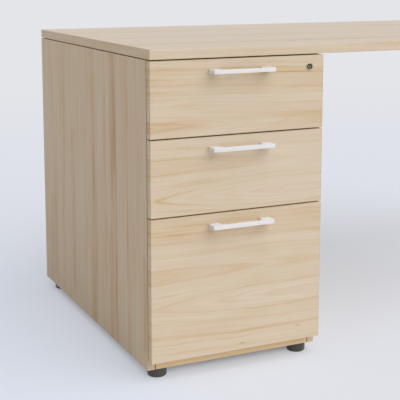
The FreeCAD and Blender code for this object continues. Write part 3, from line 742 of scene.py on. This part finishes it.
def solids(node):
    """The loose solids of a node of the frame, each as a list of its corner points."""
    shape = bmesh.new()
    shape.from_mesh(cad[node].data)
    bmesh.ops.remove_doubles(shape, verts=shape.verts, dist=corner_merge)
    found, seen = [], set()
    for start in shape.verts:
        if start in seen:
            continue
        seen.add(start)
        waiting, points = [start], []
        while waiting:
            vertex = waiting.pop()
            points.append(vertex.co.copy())
            others = [edge.other_vert(vertex) for edge in vertex.link_edges]
            waiting += [other for other in others if other not in seen]
            seen.update(others)
        found.append(points)
    shape.free()
    return found


def cut_away(piece, size, place):
    """Takes a block out of a piece."""
    bpy.ops.mesh.primitive_cube_add(size=1, location=place)
    block = bpy.context.object
    block.scale = size
    bpy.ops.object.transform_apply(location=True, rotation=True, scale=True)
    cut = piece.modifiers.new("cut", "BOOLEAN")
    cut.object = block
    cut.operation = "DIFFERENCE"
    bpy.ops.object.select_all(action="DESELECT")
    bpy.context.view_layer.objects.active = piece
    piece.select_set(True)
    bpy.ops.object.modifier_apply(modifier=cut.name)
    bpy.data.objects.remove(block)


def pan_screw(name, head_radius, head_height, stem_radius, length, pitch):
    """A screw that points along +Z from the middle of its head's face, with a cross recess in the head."""
    crown = head_height * crown_share
    root = stem_radius * screw_root
    outline = [(0, 0)] + arc(head_radius - crown, crown, crown, -90, 0)
    outline += [(head_radius, head_height), (root, head_height)]
    turns = int((length - head_height * 2) / pitch)
    for turn in range(turns):
        start = head_height * thread_from + turn * pitch
        outline += [(root, start), (stem_radius, start + pitch * crest_place)]
        outline += [(root, start + pitch * root_place)]
    outline += [(root, length - head_height * tip_share), (0, length)]
    screw = turned(name, Vector((0, 0, 0)), (0, 0, 1), outline, 20)
    recess = head_radius * recess_reach
    slot_width = head_radius * recess_width
    for size in ((recess, slot_width, head_height), (slot_width, recess, head_height)):
        cut_away(screw, size, (0, 0, head_height * recess_lift))
    return screw


def fit_screws(node, body, slot, head_height, stem_radius, pitch, flatter=0.0):
    """Screws in the places and lengths of a node's solids, each turned as its head lies. Their heads
    are as much flatter than the solids' as flatter says."""
    models, copies = {}, []
    for points in solids(node):
        low = Vector([min(point[axis] for point in points) for axis in range(3)])
        high = Vector([max(point[axis] for point in points) for axis in range(3)])
        size = high - low
        middle = (low + high) / 2
        axis = max(range(3), key=lambda way: size[way])
        way = Vector([1.0 if turn == axis else 0.0 for turn in range(3)])
        head_radius = size[(axis + 2) % 3] / 2
        wide = [p[axis] for p in points if (p - middle).cross(way).length > head_radius * head_rim]
        head_low = sum(wide) / len(wide) < middle[axis]
        place = middle.copy()
        place[axis] = low[axis] if head_low else high[axis]
        way = way if head_low else -way
        place += way * flatter
        length = size[axis] - flatter
        kind = round(length / mm, 1)
        if kind not in models:
            models[kind] = pan_screw(node, head_radius, head_height - flatter, stem_radius, length, pitch)
        copy = models[kind].copy()
        copy.data = models[kind].data.copy()
        bpy.context.collection.objects.link(copy)
        copy.location = place
        copy.rotation_euler = way.to_track_quat("Z", "Y").to_euler()
        copies.append(copy)
    for model in models.values():
        bpy.data.objects.remove(model)
    screws = joined(f"{node}_cross_head", copies)
    finish_mesh(screws)
    fit(screws, screw_finish, body, slot, node)


for drawer in ("drawer_1", "drawer_2", "drawer_3"):
    fit_screws(f"{drawer}_handle_screws", drawer, "bright_steel", **handle_screw)

# Drawer lock. A chrome collar sits proud of the upper front round a nickel plug with an upright
# keyway. The plug's face is painted dark towards its rim, as painted shade of the recess inside the
# collar and a painted dark reflection, and is paler at its centre. Behind the front the plug carries the
# cam that lifts the lock bar.
housing_low, housing_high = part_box("lock_housing")
plug_low, plug_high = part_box("lock_plug")
lock_place = Vector(
    ((housing_low.x + housing_high.x) / 2, housing_low.y, (housing_low.z + housing_high.z) / 2)
)
plug_gap = 0.1 * mm
bore_round = 0.5 * mm
rim_round = 0.9 * mm
barrel = 8 * mm
face_dish = 0.3 * mm
dish_inner, dish_outer = 0.55, 0.62
plug_round = 0.4 * mm
face_margin = 0.5 * mm
shade_edge_radius, centre_radius = 4.4 * mm, 3.6 * mm
keyway_width, keyway_depth, keyway_height = 1.4 * mm, 9 * mm, 6.4 * mm
keyway_overrun = 0.4 * mm
chrome_finish = Finish("lock_chrome", Metallic=1.0)
turning = chrome_finish.noise(chrome_finish.place, scale=2500)
chrome_dull, chrome_bright = colour(184, 172, 148), colour(216, 205, 182)
chrome_finish.use("Base Color", chrome_finish.ramp(turning, [(0.3, chrome_dull), (0.7, chrome_bright)]))
chrome_finish.use("Roughness", chrome_finish.scaled(turning, factor=0.10, offset=0.16))
chrome_finish.bump(turning, depth=0.003 * mm, strength=0.3)
# Painted shade and a painted dark reflection: the plug's face is dark outside a paler centre.
plug_finish = Finish("lock_shaded_nickel", Metallic=0.85)
scuffs = plug_finish.noise(plug_finish.place, scale=1800, detail=3)
plug_centre = plug_finish.ramp(scuffs, [(0.35, colour(134, 120, 88)), (0.75, colour(164, 150, 116))])
dark = plug_finish.ramp(scuffs, [(0.35, colour(58, 47, 27)), (0.75, colour(88, 75, 48))])
off_axis = plug_finish.point(
    plug_finish.scaled(plug_finish.axes["X"], 1, -lock_place.x),
    0.0,
    plug_finish.scaled(plug_finish.axes["Z"], 1, -lock_place.z),
)
centre_share = plug_finish.step(plug_finish.length(off_axis), shade_edge_radius, centre_radius)
plug_finish.use("Base Color", plug_finish.mix(centre_share, dark, plug_centre))
plug_finish.use("Roughness", plug_finish.scaled(scuffs, factor=0.25, offset=0.2))
plug_finish.bump(scuffs, depth=0.01 * mm, strength=0.4)

rim_radius = (housing_high.x - housing_low.x) / 2
plug_radius = (plug_high.x - plug_low.x) / 2
bore = plug_radius + plug_gap
housing_depth = housing_high.y - housing_low.y
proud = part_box("drawer_1_front")[0].y - housing_low.y
collar = arc(bore + bore_round, bore_round, bore_round, 180, 270, 4)
collar += arc(rim_radius - rim_round, rim_round, rim_round, 270, 360)
collar += [(rim_radius, proud), (barrel, proud), (barrel, housing_depth)]
collar += [(bore, housing_depth), collar[0]]
housing = turned("lock_collar", lock_place, (0, 1, 0), collar, 72)
fit(housing, chrome_finish, "drawer_1", "lock_chrome", "lock_housing")

plug_start = plug_low.y - housing_low.y
plug_outline = [(0, plug_start + face_dish), (plug_radius * dish_inner, plug_start + face_dish)]
plug_outline += [(plug_radius * dish_outer, plug_start), (plug_radius - face_margin, plug_start)]
plug_outline += arc(plug_radius - plug_round, plug_start + plug_round, plug_round, -90, 0, 3)
plug_outline += [(plug_radius, plug_high.y - housing_low.y), (0, plug_high.y - housing_low.y)]
plug = turned("lock_plug_turned", lock_place, (0, 1, 0), plug_outline, 72)
keyway_place = lock_place + Vector((0, plug_start + keyway_depth / 2, 0))
cut_away(plug, (keyway_width, keyway_depth + keyway_overrun, keyway_height), keyway_place)
finish_mesh(plug)
fit(plug, plug_finish, "lock", "lock_dark", "lock_plug")

# Leg frame. Rectangular steel tube welded into a loop and powder-coated white, its rail ends closed
# with moulded caps. The top rail is screwed to the desktop and the floor rail has two small feet.
coat = {"roughness": 0.42, "grain": 700, "depth": 0.03 * mm, "clouding": 0.015}
cap_skin = {"roughness": 0.5, "grain": 1500, "depth": 0.02 * mm, "clouding": 0.015}
coat_finish = moulded("white_powder_coat", colour(231, 231, 230), **coat)
coat_finish.put_on("leg_post_front", "leg_post_rear", "leg_top_rail", "leg_floor_rail")
moulded("cap_plastic", colour(226, 226, 224), **cap_skin).put_on("rail_end_caps")
for node in ("leg_foot_front", "leg_foot_rear"):
    levelling_foot(node, pad_top=15.6 * mm, rounding=3 * mm, stem_radius=4 * mm)

# Beams. Two steel tubes under the desktop run from the pedestal to the leg frame, with welded end
# plates. Flat-headed screws fasten the plates, the top rail and the pedestal's top panel in place.
frame_screw = {"head_height": 3 * mm, "stem_radius": 2.8 * mm, "pitch": 1.6 * mm, "flatter": 1.7 * mm}
coat_finish.put_on("beams", "beam_plates")
fit_screws("frame_screws", "root", "bright_steel", **frame_screw)

# Weld beads. Rippled fillets that join the rails to the posts in the inner corners of the leg frame,
# and the beams to their end plates. They are powder-coated together with the tubes.
ripple = 2.4 * mm
ripple_shape = ((0.82, -0.4), (1.0, 0.0), (0.94, 0.3))
bead_inset = 1 * mm
post_bead_radius = 2.6 * mm
beam_bead_radius = 1.8 * mm


def weld_bead(name, start, axis, length, radius):
    """A bead along an axis, thicker and thinner by turns where the weld pool froze. The shape of a
    ripple is given as shares of the bead's radius and of the ripple's length."""
    outline = [(0, 0)]
    for count in range(int(length / ripple)):
        along = ripple * (count + 0.5)
        outline += [(radius * share, along + ripple * place) for share, place in ripple_shape]
    outline += [(0, length)]
    return turned(name, Vector(start), axis, outline, 12)


post_low, post_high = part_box("leg_post_front")
rear_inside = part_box("leg_post_rear")[0].y
post_bead_length = post_high.x - post_low.x - bead_inset * 2
post_bead_start = post_low.x + bead_inset
beads = [
    weld_bead("post_bead", (post_bead_start, y, z), (1, 0, 0), post_bead_length, post_bead_radius)
    for y in (post_high.y, rear_inside)
    for z in (post_low.z, post_high.z)
]
beam_ends = [sorted({round(p.y, 5) for p in points}) for points in solids("beams")]
beam_low, beam_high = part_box("beams")
beam_bead_length = beam_high.z - beam_low.z - bead_inset * 2
for sides in beam_ends:
    for x in (beam_low.x, beam_high.x):
        for y in (sides[0], sides[-1]):
            start = (x, y, beam_low.z + bead_inset)
            beads.append(weld_bead("beam_bead", start, (0, 0, 1), beam_bead_length, beam_bead_radius))
fit(joined("frame_weld_beads", beads), coat_finish, "root", "white_steel")

# Desktop. A laminated board 22 mm thick with its grain along the desk, and a 2 mm printed strip glued
# all round whose arrises are rounded over.
past_end = 100 * mm
off_left, off_right = cad_box[0][0] - past_end, cad_box[1][0] + past_end
desktop_streaks = (
    (-250 * mm, 45 * mm, 0.22, off_left, off_right),
    (-20 * mm, 40 * mm, 0.16, off_left, off_right),
    (200 * mm, 60 * mm, 0.20, off_left, off_right),
    (330 * mm, 20 * mm, 0.12, off_left, off_right),
)
# Painted sheen, in part: the desktop's print is paler than the other boards', for the sheen its top shows.
desktop_sheen_tone = 0.3
desktop_beech = beech_board("desktop_beech", "X", "Y", "Z", 11.3, desktop_streaks, desktop_sheen_tone)
desktop_beech.put_on("desktop_board")
# Painted shade: the strips on the desktop's ends are printed darker than those along its front and back.
end_strip_shade_tone = 0.18
top_edge_finish = Finish("desktop_edge_strip")
end_strip = top_edge_finish.faces("X")
edge_along = top_edge_finish.blend(end_strip, top_edge_finish.axes["X"], top_edge_finish.axes["Y"])
edge_across = top_edge_finish.axes["Z"]
edge_base = top_edge_finish.scaled(end_strip, end_strip_shade_tone, plain_tone)
edge_tone = beech_tone(top_edge_finish, edge_along, edge_across, edge_base)
edge_fleck = beech_fleck(top_edge_finish, edge_along, edge_across)
edge_print = lay_beech(top_edge_finish, edge_along, edge_across, edge_tone, edge_fleck)
top_edge_finish.use("Base Color", edge_print)
gloss_beech(top_edge_finish, edge_tone, edge_fleck)
top_edge_finish.put_on("desktop_edging")

# Studio. A pale floor without a horizon, with painted light that makes it paler and bluer beside the
# pedestal on its left and painted shade that darkens it right under it, one broad soft lamp high in front
# and to the right, and an even pale sky. The camera looks a little down on the pedestal's front from its
# left.
backdrop = colour(228, 229, 233)
painted_left_glow = colour(223, 230, 242)
floor_paint = colour(229, 235, 248)
floor_bounce = colour(244, 240, 234)
sky_light = [0.97, 0.985, 1.0, 1]
sky_strength = 0.385
backdrop_share = 0.48
left_light_share = 0.13
far_start, far_end = 1.2, 6.0
left_start, left_end = -0.5, -1.1
front_start, front_end = -1.0, -0.45
under_shade_width = 55 * mm
under_shade_share = 0.3
side_steepness = 1.4
rear_margin = 12 * mm
carcass_middle = (side_low.y + side_high.y) / 2
carcass_half = (side_high.y - side_low.y) / 2

bpy.ops.mesh.primitive_plane_add(size=80, location=(0, 0, 0))
floor = bpy.context.object
floor.name = "studio_floor"
floor_finish = Finish("studio_floor_paint", Roughness=0.9, Specular_IOR_Level=0.1)
light_path = floor_finish.add("ShaderNodeLightPath").outputs
seen = floor_finish.calc("MAXIMUM", light_path["Is Camera Ray"], light_path["Is Glossy Ray"])
floor_finish.use("Base Color", floor_finish.mix(seen, floor_bounce, floor_paint))
far = floor_finish.step(floor_finish.length(floor_finish.place), far_start, far_end)
# Painted light: left of the pedestal the floor glows more, and beside it bluer, which lightens and blues
# the shadow there.
at_left = floor_finish.step(floor_finish.axes["X"], left_start, left_end)
in_front = floor_finish.step(floor_finish.axes["Y"], front_start, front_end)
# Painted shade: under the pedestal the floor keeps less glow, so it turns darker there than its own shadow
# makes it.
off_x = floor_finish.off(floor_finish.axes["X"], pedestal_middle)
off_y = floor_finish.off(floor_finish.axes["Y"], carcass_middle)
inside_x = floor_finish.scaled(off_x, -side_steepness, pedestal_half * side_steepness)
inside_y = floor_finish.scaled(off_y, -1, carcass_half - rear_margin)
inside = floor_finish.calc("MINIMUM", inside_x, inside_y)
painted_under_shade = floor_finish.step(inside, 0.0, under_shade_width, low=1.0, high=under_shade_share)
near_share = floor_finish.scaled(at_left, left_light_share, backdrop_share)
near_share = floor_finish.calc("MULTIPLY", near_share, painted_under_shade)
share = floor_finish.blend(far, near_share, 1.0)
beside = floor_finish.calc("MULTIPLY", at_left, in_front)
painted_blue_light = floor_finish.calc("MULTIPLY", beside, floor_finish.scaled(far, -1, 1))
glow_colour = floor_finish.mix(painted_blue_light, backdrop, painted_left_glow)
glow = floor_finish.add("ShaderNodeEmission", {"Color": glow_colour, "Strength": 1.0}).outputs[0]
shares = {0: floor_finish.calc("MULTIPLY", seen, share), 1: floor_finish.shader.outputs[0], 2: glow}
blend = floor_finish.add("ShaderNodeMixShader", shares).outputs[0]
floor_finish.tree.links.new(blend, floor_finish.tree.nodes["Material Output"].inputs["Surface"])
floor.data.materials.append(floor_finish.material)

world = bpy.data.worlds.new("studio_sky")
bpy.context.scene.world = world
world.use_nodes = True
sky = world.node_tree
sky_node = sky.nodes["Background"]
sky_node.inputs["Color"].default_value = sky_light
sky_node.inputs["Strength"].default_value = sky_strength
shown = add_node(sky, "ShaderNodeBackground", {"Color": backdrop}).outputs[0]
path = add_node(sky, "ShaderNodeLightPath").outputs
rays = {0: path["Is Camera Ray"], 1: path["Is Glossy Ray"]}
either = add_node(sky, "ShaderNodeMath", rays, operation="MAXIMUM").outputs[0]
rays = {0: either, 1: path["Is Transmission Ray"]}
through = add_node(sky, "ShaderNodeMath", rays, operation="MAXIMUM").outputs[0]
choice = add_node(sky, "ShaderNodeMixShader", {0: through, 1: sky_node.outputs[0], 2: shown}).outputs[0]
sky.links.new(choice, sky.nodes["World Output"].inputs["Surface"])

lamp_from = Vector((0.42, -0.66, 0.86))
lamp_strength = 2.12
lamp_spread = math.radians(72)
lamp_tint = (1.0, 0.985, 0.975)
bpy.ops.object.light_add(type="SUN", location=lamp_from * 4)
lamp = bpy.context.object
lamp.name = "softbox"
lamp.rotation_euler = lamp_from.to_track_quat("Z", "Y").to_euler()
lamp.data.energy = lamp_strength
lamp.data.angle = lamp_spread
lamp.data.color = lamp_tint

camera_place = Vector((-1.599, -2.340, 0.906))
turn_right = math.radians(25.12)
look_down = math.radians(8.72)
lens_length, sensor_width = 90.6, 36
frame_shift = -0.19
bpy.ops.object.camera_add(location=camera_place, rotation=(math.pi / 2 - look_down, 0, -turn_right))
camera = bpy.context.object
camera.data.lens = lens_length
camera.data.sensor_width = sensor_width
camera.data.shift_y = frame_shift
bpy.context.scene.camera = camera
bpy.context.scene.view_settings.view_transform = "Standard"
